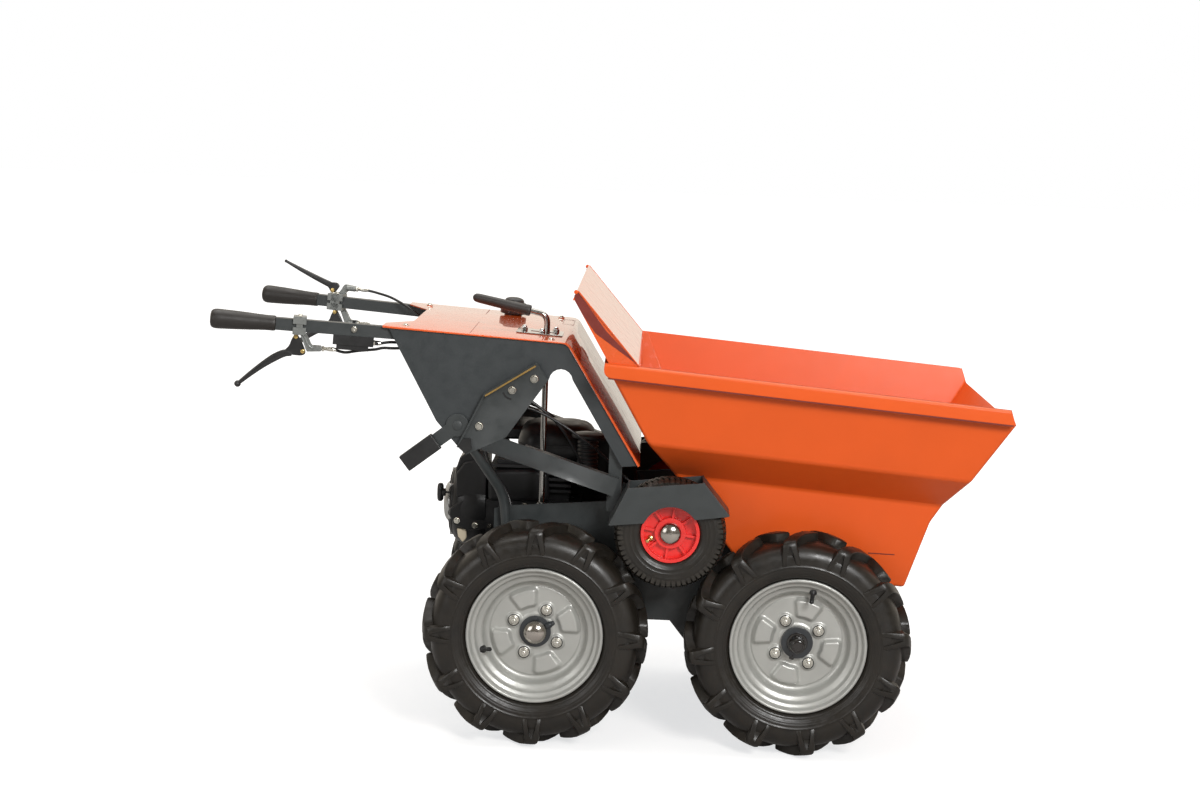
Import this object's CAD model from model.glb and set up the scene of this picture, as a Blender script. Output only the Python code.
import math

import bmesh
import bpy
from mathutils import Matrix, Vector


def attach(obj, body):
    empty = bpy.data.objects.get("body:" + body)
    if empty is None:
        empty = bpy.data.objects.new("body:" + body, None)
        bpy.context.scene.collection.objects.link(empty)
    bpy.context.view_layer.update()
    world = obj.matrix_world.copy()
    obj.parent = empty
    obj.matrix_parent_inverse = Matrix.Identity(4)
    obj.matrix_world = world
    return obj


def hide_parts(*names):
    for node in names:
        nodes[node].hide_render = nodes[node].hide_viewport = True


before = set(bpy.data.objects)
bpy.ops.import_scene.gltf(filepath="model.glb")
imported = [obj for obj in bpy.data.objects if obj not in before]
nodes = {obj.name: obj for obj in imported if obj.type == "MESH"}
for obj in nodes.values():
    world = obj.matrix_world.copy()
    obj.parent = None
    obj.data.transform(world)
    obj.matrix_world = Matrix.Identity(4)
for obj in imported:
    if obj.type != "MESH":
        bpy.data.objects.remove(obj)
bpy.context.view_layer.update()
scene = bpy.context.scene
scene.view_settings.view_transform = "Standard"

# Sizes are in mm, and X is measured from the middle of the wheelbase. The studio and the camera are in metres.
MM = 0.001
SHIFT = 136.83
AXLE_X = 273.0
TYRE_R = 236.0
TYRE_Y = 298.0  # the idlers' too
IDLER_Z = 458.84
STUD_R = 50.8
STUD_TURN = {"front": -30, "rear": -64}
LUG_TURN = {"front": -97.5, "rear": -90.5}
VALVE_TURN = {"front": -76, "rear": -200}
COVER_SLOPE = 3.3
ENDS = (("front", 1), ("rear", -1))
SIDES = (("left", 1), ("right", -1))


def sind(a):
    return math.sin(math.radians(a))


def cosd(a):
    return math.cos(math.radians(a))


# -------- materials
def join(tree, socket, val):
    """Links a socket to another node's output, or sets its constant."""
    if hasattr(val, "node"):
        tree.links.new(val, socket)
    else:
        socket.default_value = val


def shader(tree, kind, sockets):
    n = tree.nodes.new("ShaderNode" + kind)
    for key, val in sockets.items():
        join(tree, n.inputs[key], val)
    return n


def mix(tree, fac, a, b):
    m = tree.nodes.new("ShaderNodeMix")
    m.data_type = "RGBA"
    for key, val in ((0, fac), (6, a), (7, b)):
        join(tree, m.inputs[key], (*val, 1.0) if isinstance(val, tuple) else val)
    return m.outputs[2]


def surface(name, color, rough, metal=0.0, coat=0.0, coat_rough=0.06, coat_ior=1.5, grain=700.0, bump=0.15,
            mottle=9.0, tint=0.12, vary=0.25, wear=None, wear_at=0.56, dust=None, dust_amount=0.0, spec=0.5,
            depth=0.0003):
    m = bpy.data.materials.new(name)
    m.use_nodes = True
    nt = m.node_tree
    where = shader(nt, "TexCoord", {}).outputs["Object"]

    def noise(scale, detail=3.0):
        return shader(nt, "TexNoise", {"Scale": scale, "Detail": detail, "Vector": where}).outputs["Fac"]

    def span(value, low, high, start=0.3, end=0.7):
        return shader(nt, "MapRange", {"From Min": start, "From Max": end, "To Min": low, "To Max": high,
                                       "Value": value}).outputs["Result"]

    dark = tuple(c * (1.0 - tint) for c in color)
    light = tuple(min(1.0, c * (1.0 + tint * 0.6)) for c in color)
    tone = mix(nt, span(noise(mottle), 0.0, 1.0), dark, light)
    if dust:
        tone = mix(nt, span(noise(38.0, 6.0), 0.0, dust_amount), tone, dust)
    if wear:
        pointed = shader(nt, "NewGeometry", {}).outputs["Pointiness"]
        edge = span(pointed, 0.0, 1.0, wear_at, wear_at + 0.08)
        both = shader(nt, "Math", {0: edge, 1: span(noise(60.0, 4.0), -0.1, 0.55)})
        both.operation = "MULTIPLY"
        both.use_clamp = True
        tone = mix(nt, both.outputs[0], tone, wear)
    gloss = span(noise(mottle * 5.0, 5.0), rough * (1.0 - vary), rough * (1.0 + vary))
    ridges = shader(nt, "Bump", {"Strength": bump, "Distance": depth, "Height": noise(grain, 2.0)})
    bsdf = nt.nodes["Principled BSDF"]
    for key, val in (("Base Color", tone), ("Roughness", gloss), ("Metallic", metal), ("Specular IOR Level", spec),
                     ("Coat Weight", coat), ("Coat Roughness", coat_rough), ("Coat IOR", coat_ior),
                     ("Normal", ridges.outputs["Normal"])):
        join(nt, bsdf.inputs[key], val)
    return m


ORANGE = surface("orange enamel", (0.66, 0.090, 0.0125), 0.40, coat=0.05, coat_rough=0.2, grain=30.0, bump=0.004,
                 tint=0.035, vary=0.06, spec=0.22, depth=0.0006)
COVER = surface("orange gloss", (0.68, 0.094, 0.012), 0.25, coat=1.0, coat_rough=0.03, coat_ior=1.62, grain=9.0,
                bump=0.002, tint=0.03, depth=0.0006)
SHADE = surface("orange in the fold", (0.16, 0.014, 0.006), 0.5, grain=30.0, bump=0.01, tint=0.1)
GREY = surface("dark grey powder coat", (0.028, 0.0325, 0.033), 0.45, coat=0.12, coat_rough=0.3, grain=900.0,
               bump=0.1, tint=0.08)
SIDE = surface("blue grey side paint", (0.026, 0.031, 0.033), 0.46, coat=0.1, coat_rough=0.35, grain=900.0,
               bump=0.1, tint=0.07)
OCHRE = surface("ochre edge paint", (0.25, 0.15, 0.035), 0.4, grain=800.0, tint=0.2)
RUBBER = surface("tyre rubber", (0.0088, 0.0072, 0.0054), 0.38, grain=420.0, bump=0.22, mottle=14.0, tint=0.2,
                 dust=(0.060, 0.044, 0.026), dust_amount=0.10, wear=(0.040, 0.034, 0.026), spec=0.45)
RIM = surface("silver wheel paint", (0.40, 0.40, 0.375), 0.40, metal=0.4, grain=1100.0, bump=0.08, mottle=22.0,
              tint=0.06, coat=0.3, coat_rough=0.15)
HUB = surface("black hub paint", (0.020, 0.023, 0.026), 0.34, grain=800.0, bump=0.12, coat=0.2)
NUT = surface("passivated nut", (0.60, 0.58, 0.52), 0.3, metal=0.75, grain=900.0, bump=0.1, mottle=60.0, tint=0.16)
CLAMP = surface("weathered cast clamp", (0.235, 0.245, 0.235), 0.36, metal=0.6, grain=650.0, bump=0.3, mottle=30.0,
                tint=0.14, wear=(0.5, 0.5, 0.48), wear_at=0.55)
OILED = surface("oiled axle nut", (0.0085, 0.0065, 0.0055), 0.22, bump=0.1, tint=0.3, coat=0.5,
                coat_rough=0.1)
RED = surface("red idler paint", (0.74, 0.020, 0.016), 0.36, bump=0.06, tint=0.1, coat=0.4,
              coat_rough=0.12)
ZINC = surface("zinc plate", (0.70, 0.685, 0.62), 0.2, metal=1.0, grain=900.0, bump=0.08, mottle=70.0, tint=0.14)
CHROME = surface("chrome", (0.62, 0.62, 0.62), 0.09, metal=1.0, grain=300.0, bump=0.01, mottle=40.0, tint=0.05)
DOME = surface("polished steel dome", (0.47, 0.44, 0.40), 0.19, metal=1.0, grain=300.0, bump=0.02, mottle=40.0,
               tint=0.1)
ROD = surface("worn chrome rod", (0.36, 0.355, 0.34), 0.2, metal=1.0, grain=500.0, bump=0.04, mottle=30.0, tint=0.12)
STEEL = surface("turned steel", (0.36, 0.355, 0.345), 0.34, metal=1.0, grain=900.0, bump=0.1, tint=0.15)
CAST = surface("cast alloy", (0.50, 0.50, 0.485), 0.44, metal=0.6, grain=650.0, bump=0.3, mottle=30.0, tint=0.12,
               wear=(0.72, 0.72, 0.7), wear_at=0.57)
BLACK = surface("satin black lever", (0.012, 0.012, 0.0125), 0.34, grain=500.0, bump=0.1, tint=0.2, coat=0.2,
                coat_rough=0.2, wear=(0.06, 0.06, 0.06), wear_at=0.58)
GRIP = surface("grip rubber", (0.0155, 0.0125, 0.0105), 0.46, grain=900.0, bump=0.25, tint=0.2,
               dust=(0.04, 0.035, 0.03), dust_amount=0.12)
PLASTIC = surface("moulded black plastic", (0.012, 0.012, 0.0125), 0.36, grain=1000.0, bump=0.22, tint=0.2)
CABLE = surface("cable sheath", (0.011, 0.011, 0.0115), 0.34, grain=900.0, bump=0.1, tint=0.2)
ENGINE = surface("engine black", (0.0085, 0.0085, 0.009), 0.38, grain=900.0, bump=0.06, tint=0.2, spec=0.35)
CREAM = surface("pale plastic", (0.55, 0.47, 0.34), 0.45, bump=0.08, tint=0.1)
SLOT = surface("dark gap", (0.006, 0.006, 0.006), 0.7, grain=500.0, bump=0.1)
BRASS = surface("brass", (0.68, 0.50, 0.2), 0.28, metal=1.0, bump=0.08, mottle=60.0, tint=0.15)


# -------- shapes
class Shape:
    """Points in mm, faces, and a material number for each face."""

    def __init__(self):
        self.v, self.f, self.m = [], [], []

    def rings(self, rings, mat=0, caps=True):
        """A skin over rings of points, with a face on each end where it has caps."""
        n = len(rings[0])
        last = (len(rings) - 1) * n
        faces = []
        for a in range(0, last, n):
            for j in range(n):
                k = (j + 1) % n
                faces.append([a + j, a + k, a + n + k, a + n + j])
        if caps:
            faces.append(list(range(n))[::-1])
            faces.append([last + j for j in range(n)])
        start = len(self.v)
        self.v += [tuple(p) for r in rings for p in r]
        self.f += [[i + start for i in f] for f in faces]
        self.m += [mat] * len(faces)


def axes(direction):
    """Two directions at right angles to a direction, and the direction itself."""
    d = Vector(direction).normalized()
    h = Vector((0, 0, 1)) if abs(d.z) < 0.9 else Vector((1, 0, 0))
    a = (h - d * h.dot(d)).normalized()
    return a, d.cross(a), d


def lathe(s, profile, at, direction, n=48, mat=0, caps=True):
    """A turned shape. Its profile is pairs of radius and height."""
    a, b, d = axes(direction)
    o = Vector(at)
    s.rings([[o + d * h + a * (r * cosd(360 * i / n)) + b * (r * sind(360 * i / n)) for i in range(n)]
             for r, h in profile], mat, caps)


def rod(s, p, q, r, n=24, edge=0.0):
    h = (Vector(q) - Vector(p)).length
    prof = [(r, 0), (r, h)]
    if edge:
        prof = [(r - edge, 0), (r - edge * 0.3, edge * 0.3), (r, edge), (r, h - edge),
                (r - edge * 0.3, h - edge * 0.3), (r - edge, h)]
    lathe(s, prof, p, Vector(q) - Vector(p), n)


def ball(s, at, r, direction, n=24, low=-88):
    lathe(s, [(r * cosd(a), r * sind(a)) for a in [low + (88 - low) * i / 12 for i in range(13)]], at, direction, n)


def box(x0, z0, x1, z1):
    return [(x0, z0), (x1, z0), (x1, z1), (x0, z1)]


def prism(s, outline, y0, y1):
    """An outline in X and Z, drawn out along Y."""
    s.rings([[(x, y, z) for x, z in outline] for y in (y0, y1)])


def curve(points, steps=8):
    """A smooth run through the points."""
    p = [Vector(x) for x in points]
    p = [2 * p[0] - p[1], *p, 2 * p[-1] - p[-2]]
    out = []
    for i in range(1, len(p) - 2):
        for k in range(steps):
            t = k / steps
            out.append(0.5 * (2 * p[i] + (p[i + 1] - p[i - 1]) * t
                              + (2 * p[i - 1] - 5 * p[i] + 4 * p[i + 1] - p[i + 2]) * t * t
                              + (3 * p[i] - p[i - 1] - 3 * p[i + 1] + p[i + 2]) * t ** 3))
    return [*out, p[-2]]


def rounded(points, radius, steps=6):
    """A run of straight lines with its corners rounded to a radius."""
    p = [Vector(x) for x in points]
    out = [p[0]]
    for i in range(1, len(p) - 1):
        a, b = (p[i - 1] - p[i]), (p[i + 1] - p[i])
        cut = min(radius, a.length * 0.48, b.length * 0.48)
        q, r = p[i] + a.normalized() * cut, p[i] + b.normalized() * cut
        for k in range(steps + 1):
            t = k / steps
            out.append((1 - t) ** 2 * q + 2 * t * (1 - t) * p[i] + t * t * r)
    return [*out, p[-1]]


def sweep(s, path, r, n):
    """A round bar along a path."""
    path = [Vector(p) for p in path]
    a = axes(path[1] - path[0])[0]
    rings = []
    for i, p in enumerate(path):
        d = (path[min(i + 1, len(path) - 1)] - path[max(i - 1, 0)]).normalized()
        a = (a - d * a.dot(d)).normalized()
        b = d.cross(a)
        rings.append([p + r * (a * cosd(360 * k / n) + b * sind(360 * k / n)) for k in range(n)])
    s.rings(rings)


def hex_head(s, at, direction, across, high, washer=0.0, dome=0.0, turn=0.0):
    a, b, d = axes(direction)
    p = Vector(at)
    if washer:
        lathe(s, [(washer - 0.5, 0), (washer, 0.5), (washer, 1.2), (washer - 0.5, 1.7)], p, d, 28)
        p = p + d * 1.7
    r = across / math.sqrt(3.0)
    s.rings([[p + d * h + r * k * (a * cosd(60 * i + turn) + b * sind(60 * i + turn)) for i in range(6)]
             for k, h in ((0.95, 0.0), (1.0, 0.5), (1.0, high - 0.9), (0.88, high))])
    if dome:
        ball(s, p + d * (high - 1.0), dome, d, 20, low=-10)


def make(name, s, mats, body, reps=(), slot=None, bevel=0.0, segs=2, angle=32.0, weld=1e-6):
    """A piece of the scene from a shape, that rides on a body."""
    me = bpy.data.meshes.new(name)
    me.from_pydata([((x + SHIFT) * MM, y * MM, z * MM) for x, y, z in s.v], [], s.f)
    for m in mats:
        me.materials.append(m)
    me.polygons.foreach_set("material_index", s.m)
    bm = bmesh.new()
    bm.from_mesh(me)
    if weld:
        bmesh.ops.remove_doubles(bm, verts=bm.verts, dist=weld)
    bmesh.ops.recalc_face_normals(bm, faces=bm.faces)
    bm.to_mesh(me)
    bm.free()
    me.polygons.foreach_set("use_smooth", [True] * len(me.polygons))
    o = bpy.data.objects.new(name, me)
    scene.collection.objects.link(o)
    if bevel:
        soften(o, bevel, segs, angle)
    else:
        me.set_sharp_from_angle(angle=math.radians(angle))
    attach(o, body)
    if reps:
        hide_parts(*([reps] if isinstance(reps, str) else reps))


def skin(node, s, mats, body, slot, **looks):
    """The piece that shows in place of a CAD node."""
    make(node + "_skin", s, mats, body, node, slot, **looks)


def soften(o, width, segs=2, angle=32.0):
    mod = o.modifiers.new("soft edges", "BEVEL")
    mod.width = width * MM
    mod.segments = segs
    mod.limit_method = "ANGLE"
    mod.angle_limit = math.radians(angle)
    mod.use_clamp_overlap = True
    mod.miter_outer = "MITER_ARC"
    even(o)


def even(o):
    o.modifiers.new("even normals", "WEIGHTED_NORMAL").keep_sharp = True


def dress(name, m, width=0.8, segs=2):
    """A CAD node that shows: its paint, and soft edges."""
    o = nodes[name]
    o.data.materials.clear()
    o.data.materials.append(m)
    o.data.polygons.foreach_set("use_smooth", [True] * len(o.data.polygons))
    o.modifiers.new("join", "WELD").merge_threshold = 0.00002
    soften(o, width, segs)


# -------- wheels
def tyre_profile():
    run = []
    for i in range(97):
        a = -54 + 288 * i / 96
        s, c = sind(a), cosd(a)
        r = 178 + 41 * math.copysign(abs(s) ** 0.82, s)
        w = 55 * math.copysign(abs(c) ** 0.70, c)
        if abs(s) < 0.93:
            for at, wide, high in ((148.5, 1.6, 1.0), (153.0, 1.4, 0.7), (158.5, 1.4, 0.7), (164.0, 1.4, 0.8),
                                   (171.5, 2.6, 1.7)):
                w += math.copysign(high * max(0.0, 1 - abs(r - at) / wide), w)
        run.append((r, w))
    return run


LUG = [  # radius, out from the middle, out direction, turn clockwise, half width, recess edge, recess depth
    (233.6, -8, (1, 0), 13.0, 2.9, 0.3, 0), (235.6, -5, (1, 0), 12.3, 3.4, 0.3, 0),
    (236, 4, (1, 0), 10.2, 3.6, 0.3, 0), (235.4, 20, (1, 0.02), 6.6, 3.5, 0.3, 0),
    (233.0, 36, (1, 0.12), 3.3, 3.4, 0.3, 0), (229.0, 49, (0.9, 0.4), 1.1, 3.4, 0.25, 0),
    (225, 56.0, (0.6, 0.8), 0.25, 3.45, 0.2, 0), (219, 59.6, (0.1, 1), 0.0, 3.6, 0.08, 0),
    (215, 60.2, (0, 1), 0.0, 3.75, 0.14, 0.5), (209, 60.6, (0, 1), 0, 4.0, 0.24, 6.0),
    (197, 60.4, (0, 1), 0, 4.75, 0.42, 8.0), (186, 59.4, (-0.05, 1), 0, 5.5, 0.50, 7.5),
    (177, 57.2, (-0.2, 0.98), 0, 6.1, 0.54, 5.5), (170, 53.0, (-0.4, 0.9), 0, 6.6, 0.56, 2.0)]


def body_of_wheel(node):
    end, side = node.split("_")
    return end + "_wheel_" + side


def smooth(t):
    t = max(0.0, min(1.0, t))
    return t * t * (3 - 2 * t)


def spots(cx, side, z=TYRE_R):
    """A function for points on a wheel: radius, turn clockwise, and out from its middle."""
    return lambda r, ang, a: (cx + r * cosd(ang), side * (TYRE_Y + a), z - r * sind(ang))


def tyre(node, cx, side, turn):
    s = Shape()
    spot = spots(cx, side)
    lathe(s, tyre_profile(), (cx, side * TYRE_Y, TYRE_R), (0, side, 0), 120, caps=False)
    for k in range(24):
        base, way = turn + 15 * k, -1 if k % 2 else 1
        rings = []
        for r, a, (nr, na), c, h, e, d in LUG:
            size = math.hypot(nr, na)
            nr, na = nr / size, na / size
            deep = 22 if nr > 0.5 else 15
            rings.append([spot(r - nr * drop, base + c + off * h, way * (a - na * drop)) for off, drop in (
                (-1.20, deep), (-1.0, 1.3), (-0.88, 0.0), (-e, 0.0), (-e * 0.86, d), (e * 0.86, d), (e, 0.0),
                (0.88, 0.0), (1.0, 1.3), (1.20, deep))])
        s.rings(rings)
    skin("tyre_" + node, s, [RUBBER], body_of_wheel(node), "tyre", angle=38.0, weld=0)


RIM_RUN = [(138, 32), (141.5, 36), (142.6, 39.5), (142, 42), (139.6, 43.4), (137, 42.6), (135.2, 40), (134.2, 36),
           (133, 32.5), (130.4, 30.4), (127, 29.8), (125.2, 28.6), (124.4, 26), (123.2, 22), (120, 18.6), (114, 16.6),
           (110.6, 14.6), (109, 11), (107.6, 4), (106, -1), (103.2, -4.6), (99.6, -6.6), (97, -7.4), (95.4, -6.8)]
RIM_BACK = [(138, 32), (132, 24), (127, 20), (112, 15), (110, -15), (127, -22), (130, -30), (142, -36), (142, -42),
            (124, -42), (124, -24), (107, -17), (107, -8), (99, -10.5), (30, -10.5)]
FAN_R, FAN_DEEP, FAN_TURN, FAN_ROUND, FAN_HIGH = 72.0, 21.0, 20.5, 9.0, 9.0  # the bosses between the studs


def rim(node, cx, side, bolt_turn, valve_turn):
    s = Shape()
    n = 180
    spot = spots(cx, side)

    def turned_run(run):
        return [[spot(r, 360 * i / n, a) for i in range(n)] for r, a in run]

    def off_quarter(ang):
        return min(ang % 90, 90 - ang % 90)

    inner = []
    for k in range(37):
        r = 94.6 - (94.6 - 30.0) * k / 36
        row = []
        for i in range(n):
            ang = 360 * i / n
            fan, seat = off_quarter(ang - bolt_turn - 45), off_quarter(ang - bolt_turn)
            # the bosses are rounded boxes in radius and turn
            dr = abs(r - FAN_R) - FAN_DEEP + FAN_ROUND
            da = (fan - FAN_TURN) * r * math.pi / 180 + FAN_ROUND
            far = math.hypot(max(dr, 0), max(da, 0)) + min(max(dr, da), 0) - FAN_ROUND
            high = FAN_HIGH * (1 - smooth((far + 7.0) / 10.0))
            gap = math.hypot(r - STUD_R, seat * r * math.pi / 180)
            high = max(high, 4.2 * (1 - smooth((gap - 13.0) / 5.5)))
            high = max(high, 2.2 * (1 - smooth((r - 36.0) / 5.0)))
            row.append(spot(r, ang, -6 + high))
        inner.append(row)
    s.rings(turned_run(RIM_RUN) + inner, caps=False)
    s.rings(turned_run(RIM_BACK), caps=False)
    skin("rim_" + node, s, [RIM], body_of_wheel(node), "rim_paint", angle=50.0)
    v = Shape()
    foot, tip = Vector(spot(113.5, valve_turn, 14)), Vector(spot(97.0, valve_turn, 36))
    lathe(v, [(8.5, -3), (8.8, 0), (7.6, 2.4), (5.2, 4), (4.4, 8), (4.1, 17), (3.9, 19), (4.6, 19.4), (4.6, 28),
              (3.8, 29.3)], foot, tip - foot, 24)
    make("valve_" + node, v, [PLASTIC], body_of_wheel(node), slot="rim_paint", angle=50.0)


for end, sx in ENDS:
    for side_name, side in SIDES:
        node = end + "_" + side_name
        tyre(node, sx * AXLE_X, side, LUG_TURN[end])
        rim(node, sx * AXLE_X, side, STUD_TURN[end], VALVE_TURN[end])


def idler_tyre(side_name, side):
    s = Shape()
    at = (0.0, side * TYRE_Y, IDLER_Z)
    half = [(61, 18), (62.5, 24), (66, 27.6), (70, 29.4), (74, 30.2), (75, 30.9), (77, 30.5), (82, 30.9), (83.2, 31.5),
            (85, 31.0), (92, 31.0), (93.2, 31.4), (95, 30.8), (101, 29.4), (105.4, 27.2), (108.6, 24.0), (111, 18),
            (112.2, 9)]
    lathe(s, half + [(112.6, 0)] + [(r, -a) for r, a in half[::-1]], at, (0, side, 0), 120, caps=False)
    n = 60
    spot = spots(0.0, side, IDLER_Z)

    def chunk(ang, w, a0, a1, r0, r1, skew=0.0, lean=0.0):
        rings = []
        for a, sk in ((a0, 0.0), (a0 * 0.85 + a1 * 0.15, 0.15), (a0 * 0.15 + a1 * 0.85, 0.85), (a1, 1.0)):
            low = 0.7 if sk in (0.0, 1.0) else 0.0
            c = ang + skew * sk
            rings.append([spot(r0, c - w * 1.15, a), spot(r1 - low - lean * sk, c - w, a),
                          spot(r1 - low - lean * sk, c + w, a), spot(r0, c + w * 1.15, a)])
        s.rings(rings)

    for i in range(n):
        ang = 360 * i / n
        for flip in (1, -1):
            chunk(ang + (0 if flip > 0 else 3), 1.95, flip * 14.5, flip * 30.2, 94, 115.4, 0.0, 6.0)
            chunk(ang + 3 + (0 if flip > 0 else 3), 2.1, flip * 1.2, flip * 12.8, 106, 115.9, 2.6)
    skin("idler_tyre_" + side_name, s, [RUBBER], "idler_" + side_name, "tyre", angle=40.0, weld=0)


for side_name, side in SIDES:
    idler_tyre(side_name, side)
for side_name, side in SIDES:
    s = Shape()
    ang = 200
    foot = Vector((44 * cosd(ang), side * (TYRE_Y + 3.6), IDLER_Z + 44 * sind(ang)))
    tip = Vector((50 * cosd(ang), side * (TYRE_Y + 22), IDLER_Z + 50 * sind(ang)))
    lathe(s, [(7, 0), (7.4, 1.2), (5.6, 2.6), (4, 3.6), (3.8, 7), (3.2, 7.6), (3.2, 9), (3.8, 9.6), (3.8, 12),
              (3.2, 12.6), (3.2, 14), (4.0, 14.6), (4.0, 19), (3.2, 19.8)], foot, tip - foot, 24)
    make("idler_valve_" + side_name, s, [BRASS], "idler_" + side_name, slot="idler_paint", angle=40.0)
    s = Shape()
    at = Vector((-AXLE_X, side * (TYRE_Y + 0.6), TYRE_R))
    d = Vector((cosd(28), 0, sind(28)))
    lathe(s, [(7, 26), (7, 36), (6.4, 37), (5.4, 37.4), (5.4, 41), (4.6, 43), (2.6, 44.4), (0.6, 44.8)], at, d, 24)
    make("hub_nipple_" + side_name, s, [HUB], "rear_wheel_" + side_name, slot="hub_paint", angle=50.0)
    s = Shape()
    at = Vector((AXLE_X, side * TYRE_Y, TYRE_R))
    out = Vector((0, side, 0))
    lathe(s, [(19, 6.4), (21.4, 7.2), (21.8, 9), (20.6, 10.6), (17, 11)], at, out, 48)
    hex_head(s, at + out * 10, out, 30.5, 15, turn=12)
    lathe(s, [(13.5, 24), (15.2, 25), (15.4, 27), (15.4, 37), (14.4, 40), (12.0, 41.6), (9.6, 41.8),
              (9.2, 40.4), (6, 40.2), (1, 40.4)], at, out, 40)
    rod(s, at + out * 2 + Vector((-7.6, 0, -26)), at + out * 2 + Vector((-10.4, 0, -36.5)), 5.2, 20, 1.4)
    make("axle_nut_" + side_name, s, [OILED], "front_wheel_" + side_name, slot="hub_paint", angle=40.0)

# -------- skip
TILT = 4.5
SKIP_TOP, SKIP_BACK, SKIP_ROLL = 453, -524, 16  # the rolled rims: top, rear end and the rear end's radius
SLIT = ((70.7, 102.5), (126.3, 105.7))  # its two ends, in the skip's side view


def skip(u, y, w):
    return (340 + u * cosd(TILT) + w * sind(TILT), y, 320 - u * sind(TILT) + w * cosd(TILT))


def skip_shell():
    # corners in the skip's side view at six levels, and half the width at each level
    rear = {0: (-186, 37), 2: (-353.5, 221.5), 3: (-417, 292), 5: (-525, 453)}
    fore = {0: (156, 37), 1: (191, 183), 2: (211.5, 221.5), 3: (249.2, 292), 4: (318, 421), 5: (304, 453)}
    half = {0: 224.3, 1: 230.4, 2: 232.0, 3: 322.0, 4: 351.3, 5: 355.0}
    bm = bmesh.new()
    made = {}

    def vert(corner, sign):
        if (corner, sign) not in made:
            level = int(corner[1])
            u, w = (rear if corner[0] == "r" else fore)[level]
            x, y, z = skip(u, sign * half[level], w)
            made[corner, sign] = bm.verts.new(((x + SHIFT) * MM, y * MM, z * MM))
        return made[corner, sign]

    for g in (1, -1):
        for run in ("r0 f0 f1 f2 r2", "r2 f2 f3 r3", "r3 f3 f4 f5 r5"):
            bm.faces.new([vert(c, g) for c in run.split()])
    for run in ("r0 r2 r3", "r3 r5", "f0 f1", "f1 f2 f3 f4", "r0 f0"):
        bm.faces.new([vert(c, 1) for c in run.split()] + [vert(c, -1) for c in run.split()[::-1]])
    bmesh.ops.recalc_face_normals(bm, faces=bm.faces)
    mid = Vector((0.4, 0, 0.5))
    if sum((f.calc_center_median() - mid).dot(f.normal) for f in bm.faces) < 0:
        bmesh.ops.reverse_faces(bm, faces=bm.faces)
    folds = [e for e in bm.edges if len(e.link_faces) == 2 and e.calc_face_angle() > 0.05]
    bmesh.ops.bevel(bm, geom=folds, offset=0.007, segments=4, profile=0.5, affect="EDGES", clamp_overlap=True)
    me = bpy.data.meshes.new("skip_shell_skin")
    bm.to_mesh(me)
    bm.free()
    me.materials.append(ORANGE)
    me.polygons.foreach_set("use_smooth", [True] * len(me.polygons))
    o = bpy.data.objects.new("skip_shell_skin", me)
    scene.collection.objects.link(o)
    mod = o.modifiers.new("sheet", "SOLIDIFY")
    mod.thickness = 0.003
    mod.offset = -1.0
    mod.use_even_offset = True
    even(o)
    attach(o, "skip")
    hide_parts("skip_shell")


def skip_trim():
    """Rolled rims with the gap under them, corner plates and slits, on both sides."""
    rims, gaps, plates, slits = Shape(), Shape(), Shape(), Shape()
    ends = [SKIP_BACK + d for d in (0, 1.2, 3, 5.5, 8.5, 12, 16)] + [-300, 0, 200, 296, 300.5]
    tails = [0.0] * (len(ends) - 2) + [12.0, 14.0]
    for g in (1, -1):
        rings = []
        for i, (u, tail) in enumerate(zip(ends, tails)):
            d = min(u - SKIP_BACK, SKIP_ROLL)
            low = 425 + (SKIP_ROLL - math.sqrt(max(0.0, SKIP_ROLL ** 2 - (SKIP_ROLL - d) ** 2)))
            top = SKIP_TOP - (0 if i else 0.6)
            sect = [(352.5, top), (366, top), (369, top - 0.6), (371.2, top - 2.4), (372, top - 5.5), (372, low + 1),
                    (371, low), (369.6, low), (369, low + 1), (369, top - 6), (366.5, top - 3), (352.5, top - 3)]
            rings.append([skip(u + tail * (SKIP_TOP - w) / 28, g * y, w) for y, w in sect])
        rims.rings(rings)
        gaps.rings([[skip(u, g * y, w) for y, w in box(358, 422.4, 371.4, 425.2)] for u in (-514, 309)])
        plates.rings([[skip(u, g * (322 + (w - 292) * 33 / 161 - lift), w)
                       for u, w in ((-452, 452), (-440, 452), (-380, 336), (-440, 336))] for lift in (3.2, 5.0)])
        slits.rings([[skip(u, g * (224.3 + (w - 37) * 7.7 / 184.5 + d), w + h) for d, h in box(-1.0, -1.1, 0.5, 1.1)]
                     for u, w in SLIT])
    make("skip_rims", rims, [ORANGE], "skip", slot="skip_paint", bevel=0.5)
    make("skip_rim_gap", gaps, [SHADE], "skip", slot="skip_paint", bevel=0.3)
    make("skip_corner_plates", plates, [COVER], "skip", slot="skip_paint", bevel=0.4)
    make("skip_slits", slits, [SHADE], "skip", slot="skip_paint")


skip_shell()
skip_trim()


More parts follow.
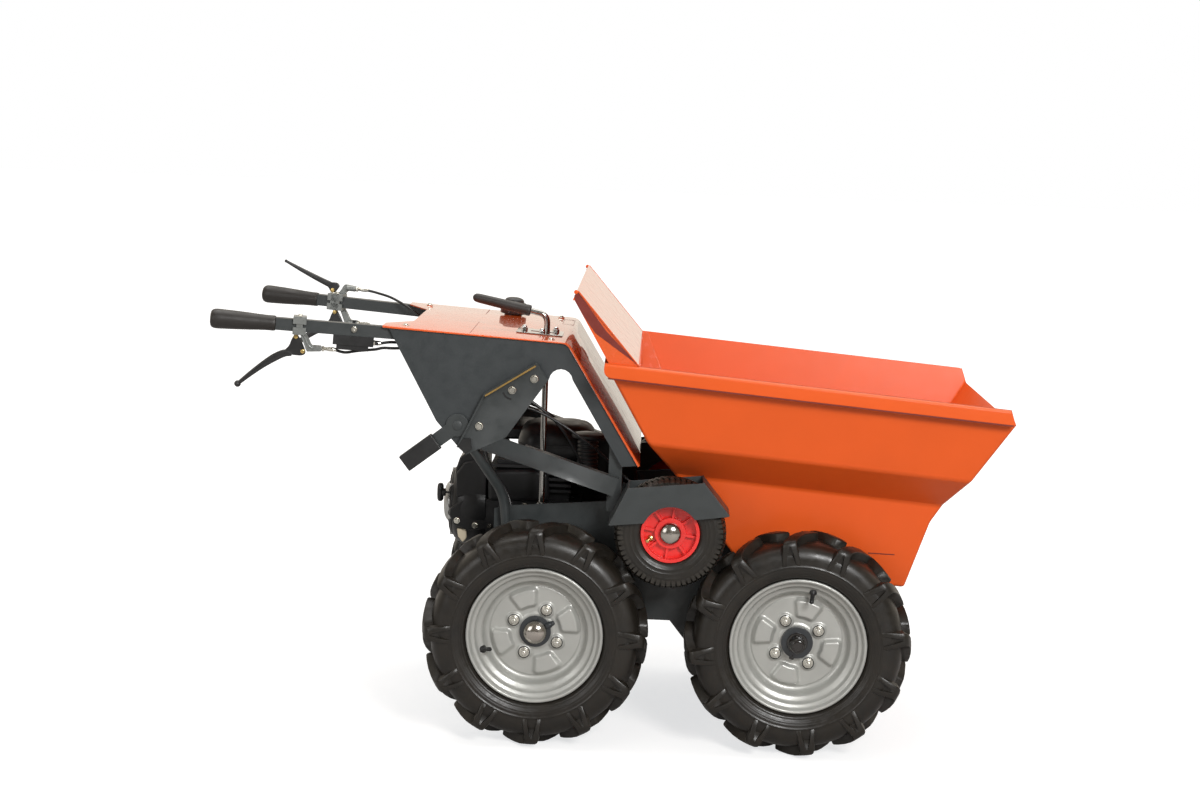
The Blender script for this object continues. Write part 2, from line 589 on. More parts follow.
def deflector():
    s = Shape()
    foot, peak, hem, heel = (-452, 453), (-596, 595), (-603, 572), (-516, 453)

    def sheet(run, t, y0, y1):
        """A folded sheet: the run is its front face in the skip's side view."""
        pts = [Vector((u, w)) for u, w in run]
        back = []
        for i, p in enumerate(pts):
            d = (pts[min(i + 1, len(pts) - 1)] - pts[max(i - 1, 0)]).normalized()
            back.append(p + Vector((-d.y, d.x)) * t)
        outline = pts + back[::-1]
        s.rings([[skip(p.x, y, p.y) for p in outline] for y in (y0, y1)])

    run = rounded([(*foot, 0), (*peak, 0), (*hem, 0)], 7.0, 6)
    sheet([(p.x, p.y) for p in run], 3.0, -355, 355)
    apron = ((-452, 453, 350.6), (-440.5, 336, 326.6), (-443.4, 336, 326.6), (-455, 453, 350.6))
    s.rings([[skip(u, g * y, w) for u, w, y in apron] for g in (-1, 1)])
    for g in (1, -1):
        s.rings([[skip(u, y, w) for u, w in (foot, (-592, 590), (-600, 573), heel)] for y in (g * 352, g * 355.4)])
        # folded edge along the side
        a, b = Vector(foot), Vector(peak)
        d = (b - a).normalized()
        nrm = Vector((d.y, -d.x))
        edge = (a + nrm * 0.6, b + nrm * 0.6 - d * 4, b - nrm * 2.4 - d * 4, a - nrm * 1.6)
        s.rings([[skip(p.x, y, p.y) for p in edge] for y in (g * 355.4, g * 358.6)])
    skin("deflector", s, [COVER], "skip", "skip_paint", bevel=0.8)
    s = Shape()
    fold = [(-594, 590), (-583, 577.5), (-528, 517), (-455, 455.5), (-502, 483), (-550, 511), (-576, 541), (-597, 569),
            (-601, 582)]
    for g in (1, -1):
        s.rings([[skip(u, g * y, w) for u, w in fold] for y in (355.2, 356.4)])
    make("deflector_folds", s, [SHADE], "skip", slot="skip_paint", bevel=0.2)
    s = Shape()
    for g in (1, -1):
        rod(s, skip(-598, g * 352, 589), skip(-598, g * 359, 589), 4.2, 20, 0.6)
    make("deflector_hem_ends", s, [ORANGE], "skip", slot="skip_paint", angle=40.0)


deflector()

# -------- cables
BRAKE = [(-711, -261, 807), (-690, -250, 801), (-665, -240, 804), (-630, -238, 808), (-600, -238, 812),
         (-520, -225, 800), (-430, -190, 700), (-390, -172, 570), (-350, -168, 505), (-335, -177, 462)]
CLUTCH = [(-716.5, 262, 886.7), (-690, 254, 882), (-650, 234, 872), (-600, 200, 848), (-540, 190, 800),
          (-450, 165, 690), (-300, 170, 640), (-200, 170, 560), (-180, 177, 480)]
THROTTLE = [(-620, -248, 822), (-590, -232, 824), (-540, -210, 815), (-420, -190, 760), (-330, -176, 720),
            (-250, -165, 660), (-205, -140, 590), (-192, -120, 550)]
RELEASE = [(-440, -259, 690), (-415, -250, 700), (-300, -200, 690), (-180, -180, 620), (-100, -150, 545),
           (-20, -150, 490), (39, -126, 476)]
cables = Shape()
for run in (BRAKE, [(x, -y, z) for x, y, z in BRAKE], CLUTCH, THROTTLE, RELEASE):
    sweep(cables, curve(run, 10), 3.0, 12)
skin("control_cables", cables, [CABLE], "chassis", "cable_rubber", angle=60.0)

# -------- handles and hand levers
RISE, SPLAY = 3.3, 8.2
BRAKE_PIN, CLUTCH_PIN = (-190, -24), (-199, 26)  # along the handle, and up


def grip_frame(side, s, y, z):
    """A point on a handle: along it, out from its middle, and up."""
    x1, z1 = s * cosd(RISE) + z * sind(RISE), -s * sind(RISE) + z * cosd(RISE)
    return (-600 + x1 * cosd(SPLAY) + y * sind(SPLAY), side * (245 - x1 * sind(SPLAY) + y * cosd(SPLAY)), 846 + z1)


def turned(s, side, start, end, profile, n=24, mat=0):
    """A turned shape on a handle, that starts at one place and heads for another."""
    p, q = Vector(grip_frame(side, *start)), Vector(grip_frame(side, *end))
    lathe(s, profile, p, q - p, n, mat)


def handle_plate(s, side, outline, y0, y1):
    s.rings([[grip_frame(side, a, y, z) for a, z in outline] for y in (y0, y1)])


def blade(s, side, path, half, wide, y=-0.5):
    """A flat oval bar along a path in the handle's side view."""
    rings = []
    for i, (a, z) in enumerate(path):
        p, q = path[max(i - 1, 0)], path[min(i + 1, len(path) - 1)]
        d = Vector((q[0] - p[0], q[1] - p[1])).normalized()
        ring = []
        for k in range(16):
            c, t = cosd(22.5 * k), sind(22.5 * k)
            u = half[i] * math.copysign(abs(c) ** 0.6, c)
            v = wide[i] * math.copysign(abs(t) ** 0.6, t)
            ring.append(grip_frame(side, a - d.y * u, y + v, z + d.x * u))
        rings.append(ring)
    s.rings(rings)


def ease(points, steps=6):
    """A smooth run through points in a side view."""
    return [(p.x, p.y) for p in curve([(a, b, 0) for a, b in points], steps)]


def spread(values, n):
    """Values along a run, at n even places."""
    out = []
    for i in range(n):
        t = i / (n - 1) * (len(values) - 1)
        k = min(int(t), len(values) - 2)
        out.append(values[k] + (values[k + 1] - values[k]) * (t - k))
    return out


grips = Shape()
GRIP_RUN = [(2, -0.8), (10, -0.6), (15.2, 0.8), (18.2, 3.4), (19.9, 7.6), (20.5, 13), (20.4, 24), (19.4, 52),
            (17.8, 82), (16.5, 101), (16.0, 112), (15.8, 120), (15.9, 128), (15.6, 131), (14.8, 132.6), (13.2, 133)]
run = []
for (r0, h0), (r1, h1) in zip(GRIP_RUN, GRIP_RUN[1:]):
    n = max(1, int((h1 - h0) / 2.2)) if 24 <= h0 < 101 else 1
    for k in range(n):
        t = k / n
        dent = 0.28 if n > 1 and k % 2 else 0.0
        run.append((r0 + (r1 - r0) * t - dent, h0 + (h1 - h0) * t))
for side in (1, -1):
    turned(grips, side, (-366, 0, 0), (-233, 0, 0), run + [GRIP_RUN[-1]], 40)
skin("handle_grips", grips, [GRIP], "chassis", "grip_rubber", angle=60.0)

clamps, pins = Shape(), Shape()


def perch(side, px, pz):
    """A lever's clamp: two lobes with a waist, an arm with the cable's adjuster, and the lever's pin."""
    up = pz > 0
    g = 1 if up else -1
    stop = 34 if up else -45
    lean = 1.0 if up else 0.0
    a, b = px - 7.5, px + 19.5
    for low, high in ((3.4, 19.2), (-18.5, -3.4)):
        handle_plate(clamps, side, box(a, low, b, high), -18.5, 18.5)
    for y0, y1 in ((-16.4, -12.7), (12.7, 16.4)):
        handle_plate(clamps, side, box(a + 7, -5, b - 7, 5), y0, y1)
    arm = ease([(px + 5, g * 12), (px + 10, g * (21 - 4 * lean)), (px + 17, g * (36 - 8 * lean)),
                (px + 24, stop + g * 6), (px + 31, stop + g * 7)], 5)
    arm += ease([(px + 52, stop + g * 5), (px + 52, stop - g * 5), (px + 36, stop - g * 6),
                 (px + 27, g * (25 - 6 * lean)), (px + 19, g * 14), (px + 18, g * 12)], 5)
    handle_plate(clamps, side, arm, 4.8, 12.6)
    rib = ease([(px + 12, g * 14), (px + 19, g * (25 - 4 * lean)), (px + 27, g * (39 - 10 * lean)), (px + 37, stop)], 5)
    blade(clamps, side, rib, [2.2] * len(rib), [2.5] * len(rib), y=12.2)
    turned(clamps, side, (px + 32, 0, stop), (px + 54, 0, stop), [(5.5, 0), (6.5, 1), (6.5, 20), (5.2, 22)])
    handle_plate(clamps, side, box(px + 33, stop - 5, px + 50, stop + 5), 0, 11)
    thread = [(3.6, 0)] + [(3.4 + 0.5 * (i % 2), 1 + 0.8 * i) for i in range(16)] + [(3.4, 14)]
    for run, n in ((thread, 20), ([(5, 1.4), (6, 1.9), (6, 5.5), (5, 6)], 12),
                   ([(3.2, 13), (4.6, 13.6), (4.6, 24), (3.6, 31)], 20)):
        turned(pins, side, (px + 53.5, 0, stop), (px + 77, 0, stop), run, n)
    for y, way in ((-6.5, -1), (5.0, 1)):
        turned(pins, side, (px, y, pz), (px, y + way, pz),
               [(4.9, -1.6), (4.9, 0.5), (4.2, 1.4), (2.6, 1.5), (2.2, 0.7), (0.3, 0.9)], mat=1)
    handle_plate(clamps, side, [(px - 6.5, g * 12), (px - 6.5, g * 17), (px + 7, g * 17), (px + 7, g * 12)], -9, 9)
    for y in (-14.5, 14.5):
        turned(pins, side, ((a + b) / 2, y, 18.4), ((a + b) / 2, y, 24),
               [(4.2, 0), (4.2, 2.6), (3.4, 3.4), (2.0, 3.4), (1.8, 1.6)], 20)


for side in (1, -1):
    perch(side, *BRAKE_PIN)
perch(1, *CLUTCH_PIN)
skin("lever_clamps", clamps, [CLAMP], "chassis", "cast_alloy", bevel=3.4, segs=4)
make("lever_pins", pins, [ZINC, BRASS], "chassis", slot="zinc", angle=40.0)


def hand_lever(name, side, pin, web, run, half, wide, knob, knob_r):
    """A lever's web, in two runs, and its blade. Places are along the handle and up, from the lever's pin."""
    def from_pin(places, steps):
        return ease([(pin[0] + a, pin[1] + b) for a, b in places], steps)

    s = Shape()
    handle_plate(s, side, from_pin(web[0], 4) + from_pin(web[1], 4), -5, 4)
    path = from_pin(run, 6)
    blade(s, side, path, spread(half, len(path)), spread(wide, len(path)))
    ball(s, grip_frame(side, pin[0] + knob[0], -0.5, pin[1] + knob[1]), knob_r, (0, 1, 0.2))
    skin(name, s, [BLACK], name, "lever_black", bevel=1.4, segs=3)


for side_name, side in SIDES:
    lever = "brake_lever_" + side_name
    hand_lever(lever, side, BRAKE_PIN,
               ([(-4.2, 2.6), (-9, -8), (-13, -20), (-22, -31)],
                [(-12, -38), (4, -39), (16, -38), (22, -32), (17, -18), (9, -4), (4.2, 2.6)]),
               [(-6, -36), (-22, -37), (-42, -48), (-66, -66), (-90, -87), (-108, -104)],
               [5.5, 8.0, 8.2, 6.6, 5.2, 4.2], [4.6, 5.2, 6.2, 6.4, 5.8, 5], (-112, -107.5), 7.0)
    pin = Shape()
    a, z = BRAKE_PIN[0] + 16, BRAKE_PIN[1] - 29.5
    for y, way in ((-5, -1), (4, 1)):
        turned(pin, side, (a, y, z), (a, y + way, z),
               [(4.4, -1), (4.4, 1.3), (3.6, 2.0), (2.4, 2.1), (2.0, 1.4), (0.3, 1.5)])
    make("brake_pin_" + side_name, pin, [BRASS], lever, slot="zinc", angle=40.0)
hand_lever("clutch_lever", 1, CLUTCH_PIN,
           ([(-5, -5), (-9, 2), (-13, 8), (-8, 17)], [(0, 18), (9, 17), (14, 10), (9, 1), (5, -5)]),
           [(2, 9), (-12, 13), (-42, 24), (-80, 39), (-118, 55)],
           [6.0, 7.0, 6.0, 4.6, 2.8], [4.6, 5.6, 6.2, 5.6, 3.6], (-118, 55), 3.8)

# throttle box bolt and ferrule
s = Shape()
p = Vector(grip_frame(-1, -72, 12.5, 1))
q = Vector(grip_frame(-1, -72, 20, 1))
hex_head(s, p, q - p, 10, 5.0, 6.6, dome=2.6)
turned(s, -1, (-30, 0, -24.5), (-14, 0, -24.5), [(5.6, 0), (5.6, 3), (4.6, 4), (4.6, 13), (3.6, 16)], 20)
make("throttle_bolt", s, [ZINC], "chassis", slot="zinc", angle=40.0)

# -------- engine
CRANK = (20.0, 446.0)
RECOIL = (-474, *CRANK)
PULL = (-30, 474)
BACK = (-1, 0, 0)


def slabs(name, m, width, segs, *plates):
    """Outlines in X and Z drawn out along Y, as one piece of the engine with soft edges."""
    s = Shape()
    for outline, y0, y1 in plates:
        prism(s, outline, y0, y1)
    make(name, s, [m], "chassis", slot="engine_black", bevel=width, segs=segs)


s = Shape()
lathe(s, [(86, -2), (93, 0), (95, 3), (95, 30), (94, 48), (91, 60), (86.5, 68), (80, 74), (76, 76)],
      (-400, *CRANK), BACK, 96)
make("engine_fan_case", s, [ENGINE], "chassis", ("engine_shroud",), "engine_black", angle=50.0)
slabs("engine_fan_case_top", ENGINE, 9.0, 5,
      ([(-468, 452), (-470, 530), (-462, 556), (-444, 572), (-402, 572), (-402, 452)], -58, 98),
      ([(-463, 462), (-465, 520), (-452, 548), (-420, 556), (-402, 540), (-402, 470), (-420, 452)], -66, -56))
s = Shape()
lathe(s, [(73, 0), (75, 1.2), (75, 3), (73, 6), (68, 8.6), (60, 10), (52, 10.6), (46, 10.8)], RECOIL, BACK, 96)
for k in range(20):
    a = 18 * k
    d = Vector((0, cosd(a), sind(a)))
    t = Vector((0, -sind(a), cosd(a)))
    rings = []
    for r, w, h in ((46, 1.8, 12.6), (56, 2.2, 12.4), (64, 2.4, 11.2), (70, 2.4, 8.6)):
        c = Vector(RECOIL) + d * r
        low, top = Vector((h - 6, 0, 0)), Vector((h, 0, 0))
        rings.append([c + t * w - low, c + t * w * 0.8 - top, c - t * w * 0.8 - top, c - t * w - low])
    s.rings(rings)
make("recoil_cover", s, [ENGINE], "chassis", slot="engine_black", angle=40.0)
s = Shape()
lathe(s, [(47, 8), (46.5, 13), (45, 15), (43, 17), (40, 20), (33, 23.5), (22, 25.6), (10, 26.2), (1, 26.3)],
      RECOIL, BACK, 64)
for k in range(6):
    a = 60 * k + 20
    hex_head(s, (-476, CRANK[0] + 70 * cosd(a), CRANK[1] + 70 * sind(a)), BACK, 8, 7, 5.5)
make("recoil_dome", s, [CAST], "chassis", slot="cast_alloy", angle=40.0)
s = Shape()
rod(s, (-503, *PULL), (-492.8, *PULL), 8.4, 28, 1.5)
s.rings([[(-504.5 + 7.4 * k * cosd(a), PULL[0] + 10 * k * sind(a), PULL[1] + z) for a in range(0, 360, 20)]
         for z, k in ((-20, 0.45), (-18.5, 0.72), (-15, 0.92), (-6, 1.0), (6, 1.0), (15, 0.92), (18.5, 0.72),
                      (20, 0.45))])
rod(s, (-493, *PULL), (-210, *PULL), 2.5, 12)
skin("starter_grip", s, [PLASTIC], "starter_grip", "black_plastic", angle=50.0)


def pill(s, lo, hi, rows, corner):
    """A rounded box built up in level rings; rows are (height, share of the half sizes)."""
    mx, my = (lo[0] + hi[0]) / 2, (lo[1] + hi[1]) / 2
    hx, hy = (hi[0] - lo[0]) / 2, (hi[1] - lo[1]) / 2
    rings = []
    for z, k in rows:
        c = corner * k
        ring = []
        for q, (gx, gy) in enumerate(((1, 1), (-1, 1), (-1, -1), (1, -1))):
            for i in range(9):
                a = 90 * q + 90 * i / 8
                ring.append((mx + gx * (hx * k - c) + c * cosd(a), my + gy * (hy * k - c) + c * sind(a), z))
        rings.append(ring)
    s.rings(rings)


s = Shape()
pill(s, (-337, -67), (-168, 112),
     [(556, 0.86), (559, 0.93), (566, 0.975), (578, 1.0), (590, 1.0), (590.4, 1.012), (594, 1.012), (594.4, 1.0),
      (604, 0.985), (615, 0.94), (624, 0.86), (630, 0.76), (634, 0.6), (636, 0.4), (636.6, 0.1)], 46)
pill(s, (-386, 62), (-309, 232), [(581, 0.8), (583, 0.92), (588, 1.0), (606, 1.0), (611, 0.92), (613, 0.8)], 22)
rod(s, (-386, 208, 596), (-371.5, 208, 852), 20, 40, 1.5)
skin("fuel_tank", s, [ENGINE], "chassis", "engine_black", angle=40.0)
s = Shape()
run = [(16, -2), (20, 0)]
for k in range(12):
    run += [(23.4, 3 + 8.4 * k), (21.6, 5.6 + 8.4 * k), (21.6, 7.6 + 8.4 * k), (23.4, 10.0 + 8.4 * k)]
run += [(24, 104), (33, 105), (35.4, 106.4), (35.4, 111.6), (34, 113.4), (26, 115), (4, 115.8)]
lathe(s, run, (-182, -105, 515), (0, 0, 1), 64)
prism(s, box(-216, 517, -175, 547), -97, -37)
skin("air_cleaner", s, [PLASTIC], "chassis", "engine_black", bevel=0.6)
s = Shape()
for x, z in ((-463, 420), (-423, 411), (-391, 412)):
    hex_head(s, (x, -72, z), (0, -1, 0), 9, 4.5, 7)
for x in (-385, -330, -275, -215):
    hex_head(s, (x, -75, 352), (0, -1, 0), 10, 5, 8)
hex_head(s, (-315, -75, 458), (0, 0, 1), 11, 6, 8)
make("engine_bolts", s, [ZINC], "chassis", slot="zinc", angle=40.0)

# faceted cover over the pull start's lower side, cowl and belt guard, and the pale duct under the cover
slabs("engine_side_cover", ENGINE, 4.0, 3,
      ([(-480, 431), (-479, 446), (-452, 467), (-386, 469), (-382, 404), (-440, 398), (-470, 410)], -72, -40),
      ([(-466, 470), (-468, 522), (-452, 546), (-424, 553), (-400, 545), (-400, 474), (-450, 472)], -69, -40))
slabs("engine_cowl", ENGINE, 9.0, 5,
      ([(-396, 468), (-398, 512), (-384, 536), (-300, 540), (-266, 534), (-262, 470)], -84, -58))
slabs("belt_guard", ENGINE, 8.0, 4,
      ([(-262, 420), (-262, 560), (-236, 596), (-196, 606), (-120, 590), (-84, 560), (-70, 500), (-70, 430),
        (-110, 412)], 40, 84))
slabs("engine_duct", CREAM, 3.0, 3, ([(-464, 400), (-442, 400), (-442, 379), (-450, 369), (-461, 382)], -62, -30))

# -------- console, caps and small fittings
TIP_PIN = (-450, 660)


def cover_top(x):
    """The height of the cover's top."""
    return 863 - (x + 610) * math.tan(math.radians(COVER_SLOPE))


# filler cap, with its scallops
s = Shape()
lathe(s, [(26, 0), (29, 0.6), (30.2, 2.4), (30.2, 19), (29.4, 22.4), (27, 24.6), (23.6, 25.6), (22.5, 27), (21.6, 31),
          (19, 34.2), (13, 36.6), (6, 37.6), (1, 37.8)], (0, 0, 0), (0, 0, 1), 72)
c, t = cosd(COVER_SLOPE), sind(COVER_SLOPE)
for i, (x, y, z) in enumerate(s.v):
    r = math.hypot(x, y)
    if r > 26 and 0.5 < z < 24:
        ang = math.degrees(math.atan2(y, x)) % 30
        k = 1.0 - 0.085 * (1 - smooth(abs(ang - 15) / 6.0))
        x, y = x * k, y * k
    x, z = x * c + z * t, -x * t + z * c
    s.v[i] = (x - 371, y + 208, z + 851.2)
skin("filler_cap", s, [PLASTIC], "filler_cap", "black_plastic", angle=44.0)

# wheel nuts on their studs
for end, sx in ENDS:
    for side_name, side in SIDES:
        node = end + "_" + side_name
        out = Vector((0, side, 0))
        s = Shape()
        for k in range(4):
            a = STUD_TURN[end] + 90 * k
            at = Vector((sx * AXLE_X + STUD_R * cosd(a), side * (TYRE_Y - 2.2), TYRE_R - STUD_R * sind(a)))
            lathe(s, [(9.6, 0), (11.0, 0.4), (11.4, 1.4), (10.8, 2.4), (9.4, 3.0)], at, out, 32)
            lathe(s, [(12.6, 2.2), (12.0, 2.6), (11.0, 2.6), (10.4, 1.8)], at, out, 32, 1, caps=False)
            hex_head(s, at + out * 2.6, out, 16.0, 8.4, turn=17 * k)
            lathe(s, [(6.4, 10.6), (5.8, 11.2), (5.2, 10.2)], at, out, 24, 1, caps=False)
            lathe(s, [(5.2, 10.0), (5.2, 13.0), (4.2, 13.9), (2.4, 14.2), (0.4, 14.3)], at, out, 24)
        skin("wheel_nuts_" + node, s, [NUT, SLOT], body_of_wheel(node), "zinc", angle=40.0)

# bolts and screws of the console
s = Shape()
slope_up = (sind(COVER_SLOPE), 0, cosd(COVER_SLOPE))
for side in (1, -1):
    for x, z in ((-293, 764), (-338, 739), (-404, 661)):
        hex_head(s, (x, side * 276, z), (0, side, 0), 12, 6, 8.6)
        rod(s, (x, side * 265, z), (x, side * 272, z), 10)
    for x, y in ((-566, 235), (-262, 240)):
        lathe(s, [(7.2, 0), (7.4, 0.6), (6.8, 1.4), (4.4, 1.7), (4.2, 3.4), (3.4, 4.2), (1, 4.4)],
              (x, side * y, cover_top(x)), slope_up, 24)
skin("console_fasteners", s, [ZINC], "chassis", "zinc", angle=40.0)
s = Shape()
rod(s, (TIP_PIN[0], -265, TIP_PIN[1]), (TIP_PIN[0], -272.4, TIP_PIN[1]), 6, 24, 0.6)
lathe(s, [(9.5, 0), (10, 0.5), (10, 1.4), (9.4, 1.8)], (TIP_PIN[0], -271.2, TIP_PIN[1]), (0, -1, 0), 28)
make("tip_lever_pin", s, [GREY], "chassis", slot="frame_paint", angle=40.0)

# bent stays
s = Shape()
for side in (1, -1):
    run = rounded([(-347, side * 196.5, 436), (-354, side * 196.5, 505), (-417, side * 262.6, 612)], 34, 8)
    sweep(s, run, 10.5, 24)
skin("stay_tubes", s, [GREY], "chassis", "frame_paint", angle=50.0)

# folded cover: its rows follow the top, round the front bend and down
s = Shape()
bend = rounded([(-610, 0, cover_top(-610)), (-224, 0, cover_top(-224)), (-68, 0, 590)], 12, 7)
rows = [(x, cover_top(x)) for x in (-610, -585, -561, -560.9)] + [(p.x, p.z) for p in bend[1:]]
for side in (1, -1):
    top = []
    for x, z in rows:
        inner = 215 - 85 * max(0.0, min(1.0, (x + 610) / 49.0)) if x <= -561 else 0.0  # the notch at the rear
        n = Vector((sind(COVER_SLOPE), cosd(COVER_SLOPE))) if x < -236 else Vector((0.845, 0.53))
        top.append([(x + n.x * d, side * y, z + n.y * d) for y, d in (
            (inner, 0.0), (266, 0.0), (268.6, -0.4), (269.7, -1.4), (270, -2.8), (270, -4.8), (267.6, -4.8),
            (267.4, -3.4), (266.4, -2.6), (265, -2.4), (inner, -2.4))])
    s.rings(top)
skin("console_cover", s, [COVER], "chassis", "skip_paint", angle=30.0)
s = Shape()


def strip(a, b, half=0.55):
    """A fine line scribed on the cover between two places (x, y)."""
    p, q = [Vector((x, y, cover_top(x) + 0.12)) for x, y in (a, b)]
    n = (q - p).normalized().cross(Vector((0, 0, 1))) * half
    up = Vector((0, 0, 0.25))
    s.rings([[c + n, c + n - up, c - n - up, c - n] for c in (p, q)])


strip((-430, 150), (-430, 264))
strip((-430, -264), (-430, -22))
corners = [(-253, 98), (-229, 98), (-229, 202), (-253, 202)]
for a, b in zip(corners, corners[1:] + corners[:1]):
    strip(a, b, 0.4)
make("console_cover_lines", s, [SHADE], "chassis", slot="skip_paint")
s = Shape()
for side in (1, -1):
    a, b = Vector((-393.5, side * 275.8, 727.4)), Vector((-291, side * 275.8, 793.4))
    d = (b - a).normalized()
    n = Vector((-d.z, 0, d.x))
    s.rings([[q + n * u + Vector((0, side * w, 0))
              for u, w in ((-2.8, -1), (0.4, -1), (0.4, 15), (-0.6, 16), (-2.8, 16))] for q in (a, b)])
make("arm_edges", s, [OCHRE], "chassis", slot="frame_paint", bevel=0.4)
s = Shape()
for side in (1, -1):
    arc = [(-338 + 19 * cosd(t), 739 + 19 * sind(t)) for t in range(196, 272, 6)]
    for q, r in zip(arc, arc[1:]):
        a, b = Vector((q[0], side * 276.3, q[1])), Vector((r[0], side * 276.3, r[1]))
        n = (b - a).normalized().cross(Vector((0, 1, 0))) * 2.0
        s.rings([[c + n, c + n - Vector((0, side, 0)), c - n - Vector((0, side, 0)), c - n] for c in (a, b)])
    prism(s, [(-437, 634), (-421, 635), (-418, 612), (-430, 603), (-446, 620)], side * 276.2, side * 284)
make("arm_slots", s, [SLOT], "chassis", slot="frame_paint", bevel=0.3)

# the gear lever's bent rod, and its grip
s = Shape()
lean = Vector((sind(-78.5), 0, cosd(-78.5)))
knee = Vector((-277, -130, 884))
path = rounded([(-277, -130, 458), tuple(knee), tuple(knee + lean * 52)], 18, 8)
sweep(s, path, 6.5, 24)
lathe(s, [(8, 0), (10.5, 0.6), (10.5, 6.4), (8, 7)], (-277, -130, 472.4), (0, 0, 1), 32)
skin("gear_lever", s, [ROD], "gear_lever", "chrome", angle=50.0)
s = Shape()
lathe(s, [(8.6, 0), (10.8, 0.8), (11.8, 2.6), (11.9, 8), (11.2, 14), (10.9, 40), (10.3, 80), (9.9, 108), (9.6, 116),
          (8.4, 121.5), (5.6, 125), (2, 126.8), (0.5, 127)], knee + lean * 36, lean, 40)
skin("gear_grip", s, [GRIP], "gear_lever", "grip_rubber", angle=50.0)

# -------- CAD parts that show
for end, _ in ENDS:
    for side_name, _ in SIDES:
        dress("hub_%s_%s" % (end, side_name), HUB, 1.0)
for side_name, _ in SIDES:
    dress("hub_cap_" + side_name, DOME)
    dress("idler_rim_" + side_name, RED, 1.4, 3)
    dress("idler_cap_" + side_name, DOME, 0.6)
    dress("idler_guard_" + side_name, GREY, 1.0)
    dress("console_arm_" + side_name, GREY)
    dress("console_plate_" + side_name, SIDE)
for name, m, width in (
        ("chassis_frame", GREY, 1.2), ("transaxle", CAST, 1.5), ("pivot_shaft", STEEL, 0.8),
        ("handle_tubes", GREY, 0.8), ("throttle_box", PLASTIC, 1.2), ("throttle_lever", PLASTIC, 0.8),
        ("gear_gate", CHROME, 0.5), ("engine_block", ENGINE, 1.5), ("skip_brackets", ORANGE, 1.0),
        ("skip_latch", STEEL, 0.8), ("tip_lever", GREY, 0.8), ("tip_grip", PLASTIC, 5.0)):
    dress(name, m, width, 3 if width >= 2 else 2)

# -------- studio
bpy.ops.mesh.primitive_plane_add(size=60.0, location=(0, 0, -0.0006))
floor = bpy.context.object
floor.name = "studio_floor"
floor.data.materials.append(
    surface("pale floor", (0.42, 0.40, 0.38), 0.8, grain=60.0, bump=0.01, tint=0.01, spec=0.2))


def lamp(name, at, aim, size, power, color=(1, 1, 1)):
    d = bpy.data.lights.new(name, "AREA")
    d.shape = "RECTANGLE"
    d.size, d.size_y = size
    d.energy = power
    d.color = color
    o = bpy.data.objects.new(name, d)
    scene.collection.objects.link(o)
    o.location = at
    o.rotation_euler = (Vector(aim) - Vector(at)).to_track_quat("-Z", "Y").to_euler()


lamp("key", (1.9, -4.3, 2.9), (0, 0, 0.45), (1.4, 1.4), 205)
lamp("fill", (-2.9, -3.4, 1.9), (-0.2, 0, 0.5), (2.2, 2.2), 38)
lamp("top", (0.0, 0.5, 4.0), (0.1, 0, 0.4), (4.6, 3.4), 110)


def screen(tree):
    """Two outputs: one for rays from the camera or through glass, one for rays from a glossy surface."""
    path = shader(tree, "LightPath", {})
    top = shader(tree, "Math", {0: path.outputs["Is Camera Ray"], 1: path.outputs["Is Transmission Ray"]})
    top.operation = "MAXIMUM"
    return top.outputs[0], path.outputs["Is Glossy Ray"]


def ramp(tree, value, *stops):
    r = shader(tree, "ValToRGB", {"Fac": value})
    marks = r.color_ramp.elements
    for mark, (at, c) in ((marks[0], stops[0]), (marks[1], stops[-1])):
        mark.position, mark.color = at, (*c, 1)
    for at, c in stops[1:-1]:
        marks.new(at).color = (*c, 1)
    return r.outputs["Color"]


def part_of(tree, value, start, end):
    """How far a value is from start to end, from nought to one."""
    return shader(tree, "MapRange", {"Value": value, "From Min": start, "From Max": end}).outputs["Result"]


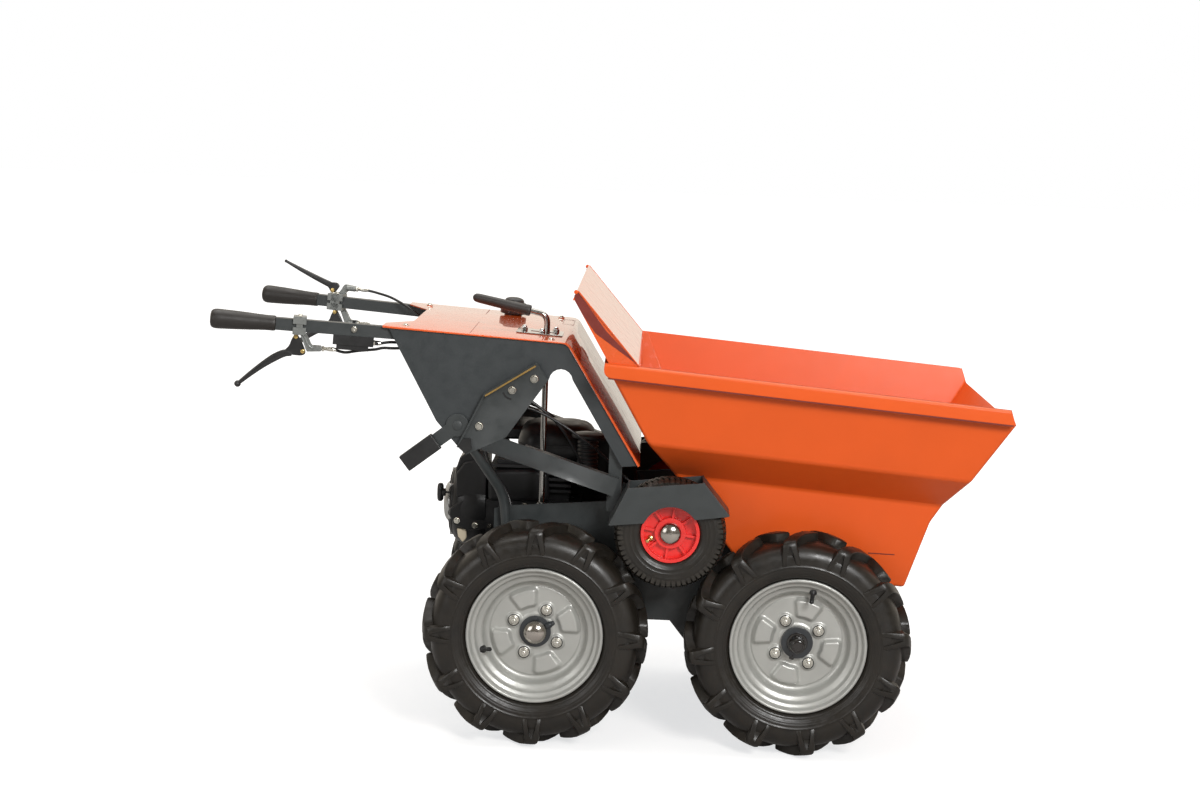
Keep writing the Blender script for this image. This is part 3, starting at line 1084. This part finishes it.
# the room is dark behind the camera and warm and bright behind the machine, and the camera sees it white
world = bpy.data.worlds.new("studio")
scene.world = world
world.use_nodes = True
wt = world.node_tree
ray = shader(wt, "SeparateXYZ", {"Vector": shader(wt, "TexCoord", {}).outputs["Generated"]})
room = ramp(wt, part_of(wt, ray.outputs["Y"], -1.0, 1.0), (0.0, (0.17, 0.15, 0.125)), (0.40, (0.30, 0.27, 0.23)),
            (0.62, (0.87, 0.79, 0.67)), (1.0, (0.90, 0.82, 0.71)))
seen, glossy = screen(wt)
soft = mix(wt, glossy, (0.42, 0.42, 0.42), room)
back = wt.nodes["Background"]
back.inputs["Strength"].default_value = 1.0
join(wt, back.inputs["Color"], mix(wt, seen, soft, (1, 1, 1)))

# the floor is a white table: it runs out to white away from the machine, and glossy surfaces see its far part bright
ft = floor.data.materials[0].node_tree
glow = ft.nodes["Principled BSDF"]
where = shader(ft, "TexCoord", {}).outputs["Object"]
away = shader(ft, "VectorMath", {0: where})
away.operation = "LENGTH"
lift = ramp(ft, part_of(ft, away.outputs["Value"], 0.7, 2.2), (0.0, (0.68, 0.69, 0.70)), (1.0, (1, 1, 1)))
behind = shader(ft, "SeparateXYZ", {"Vector": where}).outputs["Y"]
sheen = ramp(ft, part_of(ft, behind, 0.9, 3.0), (0.0, (0.06, 0.06, 0.06)), (1.0, (0.50, 0.45, 0.38)))
seen, glossy = screen(ft)
dim = mix(ft, glossy, (0, 0, 0), sheen)
join(ft, glow.inputs["Emission Color"], mix(ft, seen, dim, lift))
glow.inputs["Emission Strength"].default_value = 1.0

# -------- camera, set to the photo
YAW, PITCH, ROLL = 1.24, 7.77, 2.08
CAMERA_AT = (0.07493, -4.6123, 1.3206)
fwd = Vector((-sind(YAW) * cosd(PITCH), cosd(YAW) * cosd(PITCH), -sind(PITCH)))
right = Vector((cosd(YAW), sind(YAW), 0))
up = right.cross(fwd)
right, up = cosd(ROLL) * right + sind(ROLL) * up, -sind(ROLL) * right + cosd(ROLL) * up
cam = bpy.data.cameras.new("photo")
cam.sensor_fit = "HORIZONTAL"
cam.sensor_width = 36.0
cam.lens = 63.545
shot = bpy.data.objects.new("photo", cam)
scene.collection.objects.link(shot)
turn = Matrix((right, up, -fwd)).transposed().to_4x4()
shot.matrix_world = Matrix.Translation(CAMERA_AT) @ turn
scene.camera = shot
